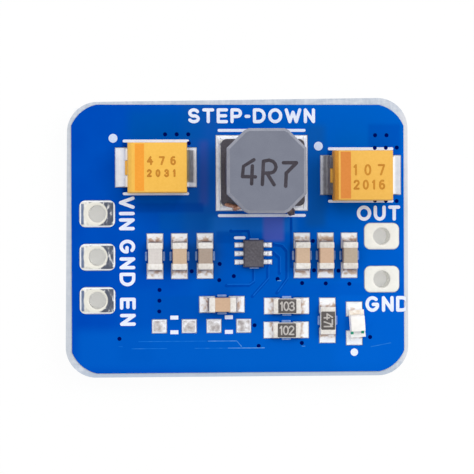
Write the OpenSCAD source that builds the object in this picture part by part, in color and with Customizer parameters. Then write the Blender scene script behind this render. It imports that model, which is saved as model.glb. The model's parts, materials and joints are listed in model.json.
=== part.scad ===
// Buck converter module: a small blue circuit board with a drum-core power inductor, two moulded
// tantalum capacitors, a flat-lead regulator, ceramic chips, resistors, an LED and five plated
// pin holes. Millimetres. The board lies flat with its parts on top: +X runs from the input pins
// to the output pins, +Y runs from the small chips towards the inductor, and z = 0 is the board's
// lower face, below its centre.

/* [Board] */
// Length of the board, from the input edge to the output edge
board_l = 20.2; // [20:0.1:23]
// Width of the board
board_w = 16.4; // [16.2:0.1:19]
// Thickness of the finished board
board_t = 1.6; // [0.8:0.1:2.4]
// Radius of the board's corners
board_corner_r = 1.8; // [1:0.1:2.2]
// Bare laminate left round the edge of the solder mask
mask_setback = 0.25; // [0.1:0.01:0.3]
// Thickness of copper and solder mask together, on each face
skin_t = 0.05; // [0.04:0.01:0.1]
// Gap between a land and the solder mask round it
mask_gap = 0.04; // [0.02:0.01:0.06]
// Diameter of the dimple over a covered via
via_d = 0.24; // [0.16:0.02:0.3]
// Depth of that dimple
via_dimple = 0.03; // [0.01:0.01:0.03]
// Thickness of the printed legend
legend_t = 0.02; // [0.01:0.01:0.05]
// Width of a printed legend line
legend_w = 0.17; // [0.1:0.01:0.2]
// Diameter of a tantalum capacitor's polarity dot
polarity_dot_d = 0.52; // [0.3:0.02:0.6]
// Diameter of the LED's polarity dot
led_dot_d = 0.44; // [0.3:0.02:0.5]

/* [Pin holes] */
// Distance between neighbouring holes of a pin row
pin_pitch = 2.54; // [2:0.02:2.8]
// Diameter of the plated hole
pin_hole_d = 1.02; // [0.8:0.02:1.1]
// Thickness of the plated barrel
plating_t = 0.05; // [0.03:0.01:0.1]
// Length of a pin pad, across the pin row
pin_pad_l = 2.04; // [1.7:0.02:2.2]
// Width of a pin pad, along the pin row
pin_pad_w = 1.52; // [1.46:0.02:1.7]
// Corner radius of a pin pad
pin_pad_r = 0.36; // [0.2:0.02:0.5]
// Height of the ring of tin round a hole
pin_bead_h = 0.06; // [0.02:0.01:0.1]
// Distance from the input edge of the board to the input holes
input_pin_inset = 1.87; // [1.8:0.01:2.1]
// Distance from the output edge of the board to the output holes
output_pin_inset = 1.57; // [1.5:0.01:1.7]

/* [Power inductor] */
// Length of the bottom flange, along the line between its terminals
inductor_l = 4.89; // [4.2:0.01:5.3]
// Width of the bottom flange
inductor_foot_w = 3.92; // [3.8:0.02:4.2]
// Length of the top flange
inductor_top_l = 4.54; // [4:0.02:4.8]
// Width of the top flange
inductor_top_w = 4.84; // [4.4:0.02:5]
// Distance between the two slanted sides that face each other on the top flange
inductor_top_slant = 5.06; // [4.8:0.02:5.2]
// Height of the core
inductor_h = 3.9; // [3:0.1:4.6]
// Thickness of the bottom flange
foot_flange_t = 0.85; // [0.6:0.05:1]
// Thickness of the top flange
top_flange_t = 0.8; // [0.6:0.05:1]
// Bevel round the upper edge of the top flange
inductor_bevel = 0.16; // [0.06:0.02:0.24]
// Diameter of the core's post
inductor_post_d = 2.1; // [1.6:0.1:2.4]
// Depth of the winding inside the long edges of the bottom flange
winding_inset = 0.21; // [0.16:0.01:0.4]
// Diameter of the winding wire
wire_d = 0.26; // [0.2:0.02:0.3]
// Length of a terminal under the bottom flange
inductor_terminal_l = 1.3; // [0.9:0.05:1.6]
// Height that a terminal climbs up the end of the flange
inductor_terminal_h = 0.42; // [0.3:0.02:0.5]

/* [Tantalum capacitors] */
// Length of the moulded body
tantalum_l = 3.47; // [3:0.01:3.6]
// Width of the moulded body
tantalum_w = 2.95; // [2.6:0.01:3]
// Height of the capacitor over the board
tantalum_h = 1.9; // [1.5:0.05:2.1]
// Slope of the mould: how far each face leans in from the parting line
tantalum_draft = 0.06; // [0.04:0.01:0.16]
// Width of the bevel along the upper edge of the anode end
anode_bevel = 0.18; // [0.1:0.02:0.24]
// Width of the leads
tantalum_lead_w = 2.2; // [1.8:0.05:2.25]
// Thickness of the lead strip
tantalum_lead_t = 0.12; // [0.08:0.01:0.16]
// Length of a lead's foot under the body
tantalum_foot = 0.8; // [0.6:0.05:1]
// Width of the slot in the anode lead
anode_slot_w = 0.9; // [0.6:0.05:1.2]
// Distance from the end of the body to the polarity band
band_inset = 0.44; // [0.3:0.02:0.7]
// Width of the polarity band
band_w = 0.52; // [0.3:0.02:0.7]

/* [Chip parts] */
// Length of a chip capacitor, resistor or LED
chip_l = 1.6; // [1.5:0.05:1.7]
// Width of a chip
chip_w = 0.88; // [0.7:0.02:0.9]
// Height of a ceramic capacitor
ceramic_h = 0.82; // [0.6:0.02:0.9]
// Length of a ceramic capacitor's terminal
ceramic_band = 0.36; // [0.2:0.02:0.45]
// Thickness of the metal on a chip's ends
terminal_t = 0.03; // [0.02:0.01:0.05]
// Edge radius of a ceramic capacitor
ceramic_edge_r = 0.09; // [0.06:0.01:0.14]
// Height of a resistor
resistor_h = 0.45; // [0.35:0.01:0.55]
// Length of a resistor's terminal
resistor_band = 0.27; // [0.2:0.01:0.35]
// Thickness of the black coat on a resistor
overcoat_t = 0.05; // [0.04:0.01:0.08]
// Height of the LED's base
led_base_h = 0.3; // [0.2:0.02:0.4]
// Height of the clear lens on the LED's base
led_lens_h = 0.36; // [0.25:0.01:0.5]
// Length of the LED's terminals
led_band = 0.26; // [0.2:0.01:0.35]

/* [Regulator] */
// Length of the regulator's body, across its leads
regulator_l = 1.2; // [1.1:0.02:1.3]
// Width of the regulator's body, along its rows of leads
regulator_w = 1.6; // [1.5:0.02:1.7]
// Height of the regulator
regulator_h = 0.56; // [0.5:0.01:0.7]
// Slope of its mould
regulator_draft = 0.05; // [0.02:0.01:0.08]
// Distance between neighbouring leads
regulator_pitch = 0.5; // [0.46:0.01:0.52]
// Width of a lead
regulator_lead_w = 0.22; // [0.16:0.01:0.26]
// Thickness of a lead
regulator_lead_t = 0.13; // [0.1:0.01:0.16]
// Length of a lead outside the body
regulator_lead_out = 0.22; // [0.16:0.02:0.28]

/* [Solder] */
// How far a land reaches past the end of a chip
chip_toe = 0.51; // [0.4:0.01:0.55]
// How far a land reaches past the end of the LED
led_toe = 0.46; // [0.4:0.01:0.5]
// How far a land reaches past a tantalum capacitor's lead
tantalum_toe = 0.49; // [0.4:0.01:0.6]
// How far the inductor's lands reach past its flange
inductor_toe = 0.24; // [0.14:0.02:0.3]
// How far a land reaches past a regulator lead
regulator_toe = 0.26; // [0.2:0.01:0.3]
// Margin of a land beside the lead or chip on it
land_margin = 0.02; // [0:0.01:0.04]
// Depth of the hollow in a solder fillet, as a part of its slope length
solder_hollow = 0.14; // [0.05:0.01:0.2]
// Share of a terminal's height that solder climbs
solder_climb = 0.7; // [0.4:0.05:0.9]
// Length of a spare solder pad
spare_pad_l = 0.82; // [0.7:0.02:0.9]
// Width of a spare solder pad
spare_pad_w = 0.76; // [0.6:0.02:0.9]
// Height of the solder on a spare pad
spare_pad_h = 0.1; // [0.05:0.01:0.2]

/* [Hidden] */
$fn = 48;
mark_w = 0.12;         // of the short marks beside the chips
mark_gap = 0.02;       // between such a mark and its chip
spare_bar_w = 0.23;    // of the printed bars between spare pads
cut = 1;               // how far a cutting tool runs past the face that it cuts

// Places from the board's centre, on a board of the usual size; parts spread out with the board
usual_board = [20.2, 16.4];
function spread(at) = [at[0] * board_l / usual_board[0], at[1] * board_w / usual_board[1]];
input_row_y = spread([0, -1.14])[1];
output_row_y = spread([0, -1.24])[1];
inductor_at = spread([1.44, 3.775]);
input_tantalum_at = spread([-4.785, 4.115]);
output_tantalum_at = spread([7.298, 3.645]);
regulator_at = spread([0.925, -0.965]);
led_at = spread([6.88, -5.115]);
spare_pairs_at = [spread([-3.74, -5.215]), spread([-0.535, -5.215])];
spare_pad_offset = 0.875;  // of each spare pad, from the middle of its pair

// Slips of parts against their lands, as they settled in the solder
input_seat = input_tantalum_at + [0, -0.06];
output_seat = output_tantalum_at + [0, -0.06];
led_slip = [0.15, 0];
led_turn = 94;

// Pin rows: [node name, x, y]
input_pin_x = -board_l / 2 + input_pin_inset;
output_pin_x = board_l / 2 - output_pin_inset;
pins = [
    ["input_terminal", input_pin_x, input_row_y + pin_pitch],
    ["input_ground_terminal", input_pin_x, input_row_y],
    ["enable_terminal", input_pin_x, input_row_y - pin_pitch],
    ["output_terminal", output_pin_x, output_row_y + pin_pitch / 2],
    ["output_ground_terminal", output_pin_x, output_row_y - pin_pitch / 2]
];

// Chips: [node name, place, turn about Z]
ceramics = [
    ["input_ceramic_1", spread([-4.86, -1.1]), 90],
    ["input_ceramic_2", spread([-3.425, -1.1]), 90],
    ["input_ceramic_3", spread([-1.92, -1.09]), 90],
    ["output_ceramic_1", spread([3.795, -1.085]), 90],
    ["output_ceramic_2", spread([5.195, -1.085]), 90],
    ["output_ceramic_3", spread([6.595, -1.09]), 90],
    ["bootstrap_ceramic", spread([-0.935, -3.95]), 0]
];
resistors = [
    ["upper_feedback_resistor", spread([2.88, -4.06]), 0],
    ["lower_feedback_resistor", spread([2.85, -5.475]), 0],
    ["led_resistor", spread([5.29, -4.925]), 90]
];
led = ["led", led_at + led_slip, led_turn];

// Covered vias: [first x, first y, step x, step y, count]
via_rows = [
    [-4.24, 6.05, 0.68, 0, 3], [-2.85, 5.53, 0, 0, 1], [8.16, 5.99, 0.68, 0, 2],
    [8.14, 5.24, 0.655, 0.01, 3], [8.14, 2.14, 0.645, -0.02, 3], [-4.6, -3.08, -0.01, -0.63, 3],
    [-2.71, -1.99, 0, 0, 1], [-1.06, -1.57, -0.03, -0.95, 2], [-0.23, -2.29, 0, 0, 1],
    [2.35, -2.47, 0, 0, 1], [4.45, -0.24, 0.06, -1.73, 2], [5.96, -2, 0, 0, 1],
    [3.8, -2.72, 1.4, -0.03, 3], [-6.96, -5.93, 0, 0, 1], [0.98, -5.19, 0.24, -1.22, 2],
    [3.77, -6.25, 0, 0, 1], [7.82, -5.93, 0, 0, 1]
];

// Derived sizes
barrel_r = pin_hole_d / 2 + plating_t;
input_lean = 0.12;     // of the input edge, which was cut out of square to the mask
top_lean = 0.24;       // of the edge beside the inductor, likewise
corner_proud = 0.003;  // how far the corner arcs stand proud of the straight edges
mask_at = [input_lean / 2, -top_lean / 3];
mask_l = board_l - 2 * mask_setback - input_lean;
mask_w = board_w - 2 * mask_setback - top_lean * 2 / 3;
mask_corner_r = board_corner_r + 0.26;
corner_overshoot = [0.15, 0.05];  // of the arcs at the mask's corners, along X and Y
chip_land_w = chip_w + 2 * land_margin;
chip_land_l = chip_toe + ceramic_band;
lead_gap = 0.02;       // between a tantalum capacitor's body and the drop of its lead
slot_gap = 0.04;       // between the anode lead's slot and the plug of compound in it
bend_r = tantalum_lead_t * 1.6;
tantalum_reach = tantalum_l / 2 + lead_gap + tantalum_lead_t;
tantalum_land_l = tantalum_toe + tantalum_foot;
tantalum_parting = tantalum_lead_t + (tantalum_h - tantalum_lead_t) / 2;
terminal_plate_t = 0.08;  // of the inductor's silver terminals
core_z = terminal_plate_t;
window_z = core_z + foot_flange_t;
winding_d = inductor_foot_w - 2 * winding_inset;
resin_inset = 0.05;       // of the resin, inside the edges of both flanges
resin_corner_r = inductor_foot_w * 0.36;
window_h = inductor_h - foot_flange_t - top_flange_t;
top_flange_z = window_z + window_h;
lead_exit_y = -(inductor_foot_w / 2 + wire_d / 2 + 0.01);
lead_x = inductor_l / 2 - 0.825;  // of each wire end, from the middle of the inductor
notch_w = 1.5;         // of the openings in the resin where the wire comes out
inductor_land_w = inductor_foot_w + 2 * inductor_toe;
inductor_land_l = inductor_terminal_l + inductor_toe;
regulator_reach = regulator_l / 2 + regulator_lead_out;
regulator_land_l = regulator_toe + regulator_lead_out - 0.04;
via_points = [for (v = via_rows, i = [0 : v[4] - 1])
    spread([v[0] + i * v[2], v[1] + i * v[3]])];

// Colours
mask_blue = [0.02, 0.33, 0.76];
tin = [0.87, 0.87, 0.86];
solder_grey = [0.8, 0.8, 0.8];
tantalum_yellow = [0.95, 0.73, 0.33];
ferrite_grey = [0.48, 0.49, 0.53];

// ---------------------------------------------------------------- shared shapes

// Puts children on the top face of the board at a place, turned about Z
module on_board(at, turn = 0) {
    translate([at[0], at[1], board_t]) rotate([0, 0, turn]) children();
}

// Rectangle with round corners, centred
module rounded_outline(l, w, r) {
    square([l - 2 * r, w], center = true);
    square([l, w - 2 * r], center = true);
    for (x = [-1, 1], y = [-1, 1])
        translate([x * (l / 2 - r), y * (w / 2 - r)]) circle(r);
}

// Block with all twelve edges rounded, centred
module rounded_block(l, w, h, r) {
    intersection() {
        linear_extrude(h, center = true) rounded_outline(l, w, r);
        rotate([90, 0, 0]) linear_extrude(w, center = true) rounded_outline(l, h, r);
        rotate([90, 0, 90]) linear_extrude(l, center = true) rounded_outline(w, h, r);
    }
}

// Both ends of whatever is drawn, cut off at a distance from the middle
module only_ends(inner, reach, side) {
    intersection() {
        children();
        for (s = [-1, 1]) scale([s, 1, 1])
            translate([inner, -side / 2, -side / 2]) cube([reach, side, side]);
    }
}

// Copies children to both ends of the X axis, the second one mirrored
module both_ends() {
    children();
    mirror([1, 0, 0]) children();
}

// Section of a solder fillet: a triangle with a hollow face, its corner at the origin
module fillet_section(toe, rise) {
    slope = sqrt(toe * toe + rise * rise);
    sag = solder_hollow * slope;
    r = (slope * slope / 4 + sag * sag) / (2 * sag);
    difference() {
        polygon([[0, 0], [toe, 0], [0, rise]]);
        translate([toe / 2 + (r - sag) * rise / slope, rise / 2 + (r - sag) * toe / slope])
            circle(r, $fn = 96);
    }
}

// Solder from a vertical face down to the end of its land, narrower at the top than at the foot
module solder_fillet(toe, rise, foot_w, top_w) {
    intersection() {
        rotate([90, 0, 0]) linear_extrude(foot_w, center = true) fillet_section(toe, rise);
        rotate([90, 0, 90]) linear_extrude(toe)
            polygon([[-foot_w / 2, 0], [foot_w / 2, 0], [top_w / 2, rise], [-top_w / 2, rise]]);
    }
}

// Round-ended legend line along X
module legend_line(l, w = legend_w) {
    square([l - w, w], center = true);
    for (s = [-1, 1]) translate([s * (l - w) / 2, 0]) circle(w / 2);
}

// ---------------------------------------------------------------- lands, in board outline

// One land of a part: a rectangle whose outer end lies at reach along X
module end_land(reach, l, w, grow) {
    translate([reach - l - grow, -w / 2 - grow]) square([l + 2 * grow, w + 2 * grow]);
}

// Outlines of all the lands that parts are soldered to, grown by a margin
module land_outlines(grow = 0) {
    translate(inductor_at) both_ends()
        end_land(inductor_l / 2 + inductor_toe, inductor_land_l, inductor_land_w, grow);
    for (at = [input_tantalum_at, output_tantalum_at]) translate(at) both_ends()
        end_land(tantalum_reach + tantalum_toe, tantalum_land_l,
            tantalum_lead_w + 4 * land_margin, grow);
    for (c = concat(ceramics, resistors)) translate(c[1]) rotate(c[2]) both_ends()
        end_land(chip_l / 2 + chip_toe, chip_land_l, chip_land_w, grow);
    translate(led_at) rotate(90) both_ends()
        end_land(chip_l / 2 + led_toe, led_toe + ceramic_band, chip_land_w, grow);
    translate(regulator_at) for (i = [-1, 0, 1]) both_ends()
        translate([0, i * regulator_pitch])
            end_land(regulator_reach + regulator_toe, regulator_land_l,
                regulator_lead_w + land_margin, grow);
    for (at = spare_pairs_at, s = [-1, 1]) translate([at[0] + s * spare_pad_offset, at[1]])
        square([spare_pad_l + 2 * grow, spare_pad_w + 2 * grow], center = true);
}

// Outlines of the pin pads, grown by a margin
module pin_pad_outlines(grow = 0) {
    for (p = pins) translate([p[1], p[2]])
        rounded_outline(pin_pad_l + 2 * grow, pin_pad_w + 2 * grow, pin_pad_r + grow);
}

// ---------------------------------------------------------------- board

// Unit vector at right angles to d, on its right-hand side
function outward(d) = [d[1], -d[0]] / norm(d);

// Outline of the board: two of its edges lean, and its corners are rounded
module board_outline() {
    r = board_corner_r;
    x = board_l / 2 - r;
    y = board_w / 2 - r;
    centres = [[-x, -y], [x, -y], [x, y], [input_lean - x, y - top_lean]];
    polygon([for (i = [0 : 3], end = [0, 1])
        centres[(i + end) % 4]
            + (r - corner_proud) * outward(centres[(i + 1) % 4] - centres[i])]);
    for (c = centres) translate(c) circle(r);
}

// Outline of the solder mask: its corner arcs start a little outside its straight edges
module mask_outline() {
    translate(mask_at) intersection() {
        square([mask_l, mask_w], center = true);
        rounded_outline(mask_l + 2 * corner_overshoot[0], mask_w + 2 * corner_overshoot[1],
            mask_corner_r);
    }
}

module pcb_laminate() {
    color([0.82, 0.83, 0.8]) translate([0, 0, skin_t]) linear_extrude(board_t - 2 * skin_t)
        difference() {
            board_outline();
            for (p = pins) translate([p[1], p[2]]) circle(barrel_r);
        }
}

module solder_mask_top() {
    color(mask_blue) translate([0, 0, board_t - skin_t]) difference() {
        linear_extrude(skin_t) difference() {
            mask_outline();
            pin_pad_outlines(mask_gap);
            land_outlines(mask_gap);
        }
        for (v = via_points)
            translate([v[0], v[1], skin_t - via_dimple]) cylinder(h = cut, d = via_d);
    }
}

module solder_mask_bottom() {
    color(mask_blue) difference() {
        linear_extrude(skin_t) difference() {
            mask_outline();
            pin_pad_outlines(mask_gap);
        }
        for (v = via_points)
            translate([v[0], v[1], via_dimple - cut]) cylinder(h = cut, d = via_d);
    }
}

module component_lands() {
    color(tin) translate([0, 0, board_t - skin_t]) linear_extrude(skin_t) land_outlines();
}

// Printed lines beside the tantalum capacitors and the inductor
module edge_lines() {
    tantalum_line_y = (tantalum_w + legend_w) / 2 - 0.015;
    inductor_line_y = (inductor_top_w + legend_w) / 2;
    for (at = [input_tantalum_at, output_tantalum_at], s = [-1, 1])
        translate([at[0], at[1] + s * tantalum_line_y]) legend_line(tantalum_l + 0.42);
    for (s = [-1, 1]) translate([inductor_at[0], inductor_at[1] + s * inductor_line_y])
        legend_line(inductor_l + 0.3);
}

// Dots that mark polarity: one at each tantalum capacitor's anode and one at the LED
module polarity_dots() {
    for (at = [input_tantalum_at, output_tantalum_at])
        translate([at[0] - tantalum_reach - tantalum_toe - 0.14, at[1] + tantalum_w / 2 + 0.23])
            circle(d = polarity_dot_d);
    translate([led_at[0], led_at[1] - chip_l / 2 - led_toe - 0.44]) circle(d = led_dot_d);
}

// Short marks half-way along the sides of the chips, and bars between the spare pads
module chip_marks() {
    mark_l = min(0.55, chip_l - 2 * ceramic_band - 0.1);
    for (c = concat(ceramics, resistors)) translate(c[1]) rotate(c[2]) for (s = [-1, 1])
        translate([0, s * (chip_w + mark_w) / 2 + s * mark_gap]) legend_line(mark_l, mark_w);
    for (at = spare_pairs_at, s = [-1, 1])
        translate([at[0], at[1] + 0.08 + s * (spare_pad_w / 2 + 0.05)])
            square([0.47, spare_bar_w], center = true);
}

// Dash at the regulator's first lead and a thin dash at each end of its body
module regulator_marks() {
    translate(regulator_at) {
        translate([-regulator_l / 2 - 0.2, regulator_w / 2 + 0.13]) legend_line(0.68);
        for (s = [-1, 1]) translate([0.05, s * (regulator_w / 2 + 0.05)])
            legend_line(0.55, 0.07);
    }
}

// Printed outlines, dots and bars, left off over the dimples of the vias; the lettering is not
// part of the solids
module legend() {
    color("white") translate([0, 0, board_t]) linear_extrude(legend_t) difference() {
        union() {
            edge_lines();
            polarity_dots();
            chip_marks();
            regulator_marks();
        }
        for (v = via_points) translate(v) circle(d = via_d);
    }
}

// A plated pin hole: barrel, a pad on each face and a low ring of tin round the upper mouth
module pin_terminal(p) {
    hole_r = pin_hole_d / 2;
    ring_w = pin_pad_w / 2 - hole_r;
    ring_r = (ring_w * ring_w / 4 + pin_bead_h * pin_bead_h) / (2 * pin_bead_h);
    color(tin) translate([p[1], p[2], 0]) {
        difference() {
            union() {
                cylinder(h = board_t, r = barrel_r);
                for (z = [0, board_t - skin_t]) translate([0, 0, z]) linear_extrude(skin_t)
                    rounded_outline(pin_pad_l, pin_pad_w, pin_pad_r);
            }
            translate([0, 0, -cut]) cylinder(h = board_t + 2 * cut, r = hole_r);
        }
        translate([0, 0, board_t]) rotate_extrude() intersection() {
            translate([hole_r + ring_w / 2, pin_bead_h - ring_r]) circle(ring_r, $fn = 96);
            translate([hole_r, 0]) square([ring_w, pin_bead_h]);
        }
    }
}

// ---------------------------------------------------------------- power inductor

// Section of the top flange between two opposite sides, with bevelled upper edges
module flange_slab(width) {
    b = inductor_bevel;
    rotate([90, 0, 0]) linear_extrude(2 * inductor_top_w, center = true)
        polygon([[-width / 2, 0], [width / 2, 0], [width / 2, top_flange_t - b],
            [width / 2 - b, top_flange_t], [b - width / 2, top_flange_t],
            [-width / 2, top_flange_t - b]]);
}

// Eight-sided top flange whose corners are turned round
module top_flange() {
    corner_r = inductor_top_slant / 2 + 0.1;
    intersection() {
        flange_slab(inductor_top_l);
        rotate([0, 0, 90]) flange_slab(inductor_top_w);
        rotate([0, 0, 45]) flange_slab(inductor_top_slant);
        rotate([0, 0, -45]) flange_slab(inductor_top_slant);
        union() {
            cylinder(h = top_flange_t - inductor_bevel, r = corner_r);
            translate([0, 0, top_flange_t - inductor_bevel])
                cylinder(h = inductor_bevel, r1 = corner_r, r2 = corner_r - inductor_bevel);
        }
    }
}

module inductor_core() {
    color(ferrite_grey) on_board(inductor_at) {
        difference() {
            translate([0, 0, core_z]) linear_extrude(foot_flange_t)
                rounded_outline(inductor_l, inductor_foot_w, 0.35);
            // grooves in the edge of the bottom flange for the two wire ends
            for (s = [-1, 1]) translate([s * lead_x, lead_exit_y, 0])
                cylinder(h = window_z + cut, d = wire_d + 0.06);
        }
        translate([0, 0, window_z - 0.01])
            cylinder(h = window_h + 0.02, d = inductor_post_d);
        translate([0, 0, top_flange_z]) top_flange();
    }
}

// Straight piece of round wire with a round end, from a to b
module wire(a, b) {
    d = b - a;
    len = norm(d);
    translate(a) rotate([0, acos(d[2] / len), atan2(d[1], d[0])]) cylinder(h = len, d = wire_d);
    translate(b) sphere(d = wire_d);
}

module inductor_winding() {
    turns = floor(window_h / wire_d);
    step = window_h / turns;
    drum_r = winding_d / 2 - wire_d / 2;
    low = window_z + wire_d * 0.75;
    leave_x = 0.75;        // where a wire end leaves the drum
    color([0.62, 0.36, 0.2]) on_board(inductor_at) {
        translate([0, 0, window_z]) rotate_extrude() {
            translate([inductor_post_d / 2 + 0.02, 0.02])
                square([drum_r - inductor_post_d / 2 - 0.02, window_h - 0.04]);
            for (i = [0 : turns - 1]) translate([drum_r, (i + 0.5) * step])
                circle(d = min(wire_d, step) - 0.01);
        }
        for (s = [-1, 1]) {
            path = [
                [s * leave_x, -drum_r + 0.2, low],
                [s * (lead_x - 0.3), lead_exit_y + 0.1, low],
                [s * lead_x, lead_exit_y, low - 0.14], [s * lead_x, lead_exit_y, wire_d / 2]
            ];
            for (i = [0 : len(path) - 2]) wire(path[i], path[i + 1]);
        }
    }
}

module inductor_resin() {
    color([0.2, 0.19, 0.21]) on_board(inductor_at) translate([0, 0, window_z])
        difference() {
            linear_extrude(window_h) rounded_outline(inductor_top_l - 2 * resin_inset,
                inductor_foot_w - 2 * resin_inset, resin_corner_r);
            translate([0, 0, -cut]) cylinder(h = window_h + 2 * cut, d = winding_d + 0.02);
            for (s = [-1, 1]) translate([s * (lead_x - 0.25) - notch_w / 2, -inductor_foot_w, -cut])
                cube([notch_w, inductor_foot_w - 1.1, cut + wire_d * 2.2]);
        }
}

// Silver terminal: a plate under the bottom flange that turns up its end face
module inductor_terminal(side) {
    color(tin) on_board(inductor_at) scale([side, 1, 1]) difference() {
        union() {
            translate([inductor_l / 2 - inductor_terminal_l, -inductor_foot_w / 2, 0])
                cube([inductor_terminal_l, inductor_foot_w, terminal_plate_t]);
            translate([inductor_l / 2, 0.35 - inductor_foot_w / 2, 0])
                cube([0.04, inductor_foot_w - 0.7, inductor_terminal_h]);
        }
        translate([lead_x, lead_exit_y, -cut]) cylinder(h = 3 * cut, d = wire_d + 0.06);
    }
}

// Low fillets on the outer end and both flanks of each inductor terminal
module inductor_solder() {
    toe = inductor_toe - 0.04;
    rise = inductor_terminal_h * solder_climb;
    color(solder_grey) on_board(inductor_at) both_ends() difference() {
        union() {
            translate([inductor_l / 2 + 0.04, 0, 0])
                solder_fillet(toe, rise, inductor_land_w, inductor_foot_w - 0.7);
            for (s = [-1, 1])
                translate([(inductor_l - inductor_terminal_l) / 2, s * inductor_foot_w / 2, 0])
                    rotate([0, 0, s * 90]) solder_fillet(inductor_toe, rise / 2,
                        inductor_terminal_l, inductor_terminal_l - 0.2);
        }
        translate([lead_x, lead_exit_y, -cut]) cylinder(h = 3 * cut, d = wire_d);
    }
}

// ---------------------------------------------------------------- tantalum capacitors

// Side view of the moulded body: widest at the parting line
module mould_section(width) {
    d = tantalum_draft;
    z0 = tantalum_lead_t;
    z1 = tantalum_parting;
    z2 = tantalum_h;
    polygon([[d - width / 2, z0], [width / 2 - d, z0], [width / 2, z1], [width / 2 - d, z2],
        [d - width / 2, z2], [-width / 2, z1]]);
}

// Side view of the body along its length, with a bevel on the anode end's upper edge
module bevelled_section() {
    difference() {
        mould_section(tantalum_l);
        translate([anode_bevel + tantalum_draft - tantalum_l / 2, tantalum_h])
            polygon([[0, 0], [0, cut], [-cut, cut], [-cut, -cut]]);
    }
}

module moulded_body() {
    intersection() {
        rotate([90, 0, 0]) linear_extrude(tantalum_w + cut, center = true) bevelled_section();
        rotate([90, 0, 90]) linear_extrude(tantalum_l + cut, center = true)
            mould_section(tantalum_w);
    }
}

// Quarter ring of the lead's bend, its centre at the origin
module bend_section() {
    intersection() {
        difference() {
            circle(bend_r);
            circle(bend_r - tantalum_lead_t);
        }
        square(bend_r);
    }
}

// Side view of a lead at the +X end: out of the body, down its end and back under it
module lead_section() {
    t = tantalum_lead_t;
    x = tantalum_reach;
    z = tantalum_parting + t / 2;
    translate([tantalum_l / 2 - 0.4, z - t]) square([x - bend_r - tantalum_l / 2 + 0.4, t]);
    translate([x - bend_r, z - bend_r]) bend_section();
    translate([x - t, bend_r]) square([t, z - 2 * bend_r]);
    translate([x - bend_r, bend_r]) mirror([0, 1]) bend_section();
    translate([x - tantalum_foot, 0]) square([tantalum_foot - bend_r, t]);
}

module tantalum_lead() {
    rotate([90, 0, 0]) linear_extrude(tantalum_lead_w, center = true) lead_section();
}

// Lead at the -X end, with a slot through its bend
module anode_lead() {
    mirror([1, 0, 0]) difference() {
        tantalum_lead();
        translate([tantalum_l / 2, -anode_slot_w / 2, tantalum_parting - 0.3])
            cube([cut, anode_slot_w, cut]);
    }
}

module tantalum_body(at) {
    color(tantalum_yellow) on_board(at) difference() {
        union() {
            moulded_body();
            // plug of moulding compound in the slot of the anode lead
            translate([-tantalum_reach, slot_gap - anode_slot_w / 2, tantalum_parting - 0.24])
                cube([tantalum_reach, anode_slot_w - 2 * slot_gap, 0.24]);
        }
        tantalum_lead();
        anode_lead();
    }
}

module tantalum_anode(at) {
    color(tin) on_board(at) anode_lead();
}

module tantalum_cathode(at) {
    color(tin) on_board(at) tantalum_lead();
}

// Printed polarity band across the top of the body, at its anode end
module tantalum_band(at) {
    color([0.94, 0.58, 0.2]) on_board(at)
        translate([band_inset - tantalum_l / 2, tantalum_draft - tantalum_w / 2, tantalum_h])
            cube([band_w, tantalum_w - 2 * tantalum_draft, legend_t]);
}

module tantalum_solder() {
    color(solder_grey) for (at = [input_tantalum_at, output_tantalum_at]) on_board(at)
        both_ends() translate([tantalum_reach, 0, 0])
            solder_fillet(tantalum_toe, tantalum_parting * solder_climb,
                tantalum_lead_w + 4 * land_margin, tantalum_lead_w);
}

// ---------------------------------------------------------------- chip parts

// Lies a chip of height h on its land, from a block that is centred
module lie_chip(c, h) {
    on_board(c[1], c[2]) translate([0, 0, h / 2]) children();
}

module ceramic_core() {
    t = terminal_t;
    rounded_block(chip_l - 2 * t, chip_w - 2 * t, ceramic_h - 2 * t, ceramic_edge_r - t);
}

module ceramic(c) {
    color([0.82, 0.66, 0.5]) lie_chip(c, ceramic_h) ceramic_core();
}

module ceramic_terminals(c) {
    color(tin) lie_chip(c, ceramic_h) difference() {
        only_ends(chip_l / 2 - ceramic_band, chip_l, 2 * chip_l)
            rounded_block(chip_l, chip_w, ceramic_h, ceramic_edge_r);
        ceramic_core();
    }
}

// Side view of a metal cap that wraps the top, end and underside of a flat chip
module wrap_section(h, band) {
    difference() {
        translate([chip_l / 2 - band, -h / 2]) square([band, h]);
        translate([chip_l / 2 - band - cut, terminal_t - h / 2])
            square([band - terminal_t + cut, h - 2 * terminal_t]);
    }
}

module wrap_terminals(h, band) {
    both_ends() rotate([90, 0, 0]) linear_extrude(chip_w, center = true) wrap_section(h, band);
}

module resistor(r) {
    t = terminal_t;
    color([0.86, 0.85, 0.82]) lie_chip(r, resistor_h)
        cube([chip_l - 2 * t, chip_w, resistor_h - 2 * t], center = true);
}

module resistor_overcoat(r) {
    color([0.12, 0.11, 0.11]) lie_chip(r, resistor_h)
        translate([0, 0, resistor_h / 2 - terminal_t]) linear_extrude(overcoat_t)
            rounded_outline(chip_l - 2 * resistor_band, chip_w - 0.06, 0.05);
}

module resistor_terminals(r) {
    color(tin) lie_chip(r, resistor_h) wrap_terminals(resistor_h, resistor_band);
}

// LED: white base with a terminal on each end and a clear lens whose ends slope
module led_base() {
    t = terminal_t;
    color([0.93, 0.93, 0.9]) lie_chip(led, led_base_h)
        cube([chip_l - 2 * t, chip_w, led_base_h - 2 * t], center = true);
}

module led_lens() {
    foot = chip_l / 2 - led_band;
    crown = foot - led_lens_h / 4;
    top = led_lens_h + terminal_t;
    color([0.95, 0.96, 0.9, 0.7]) on_board(led[1], led[2])
        translate([0, 0, led_base_h - terminal_t]) rotate([90, 0, 0])
            linear_extrude(chip_w - 0.04, center = true)
                polygon([[-foot, 0], [foot, 0], [crown, top], [-crown, top]]);
}

module led_terminals() {
    color([0.9, 0.84, 0.6]) lie_chip(led, led_base_h) wrap_terminals(led_base_h, led_band);
}

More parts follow.
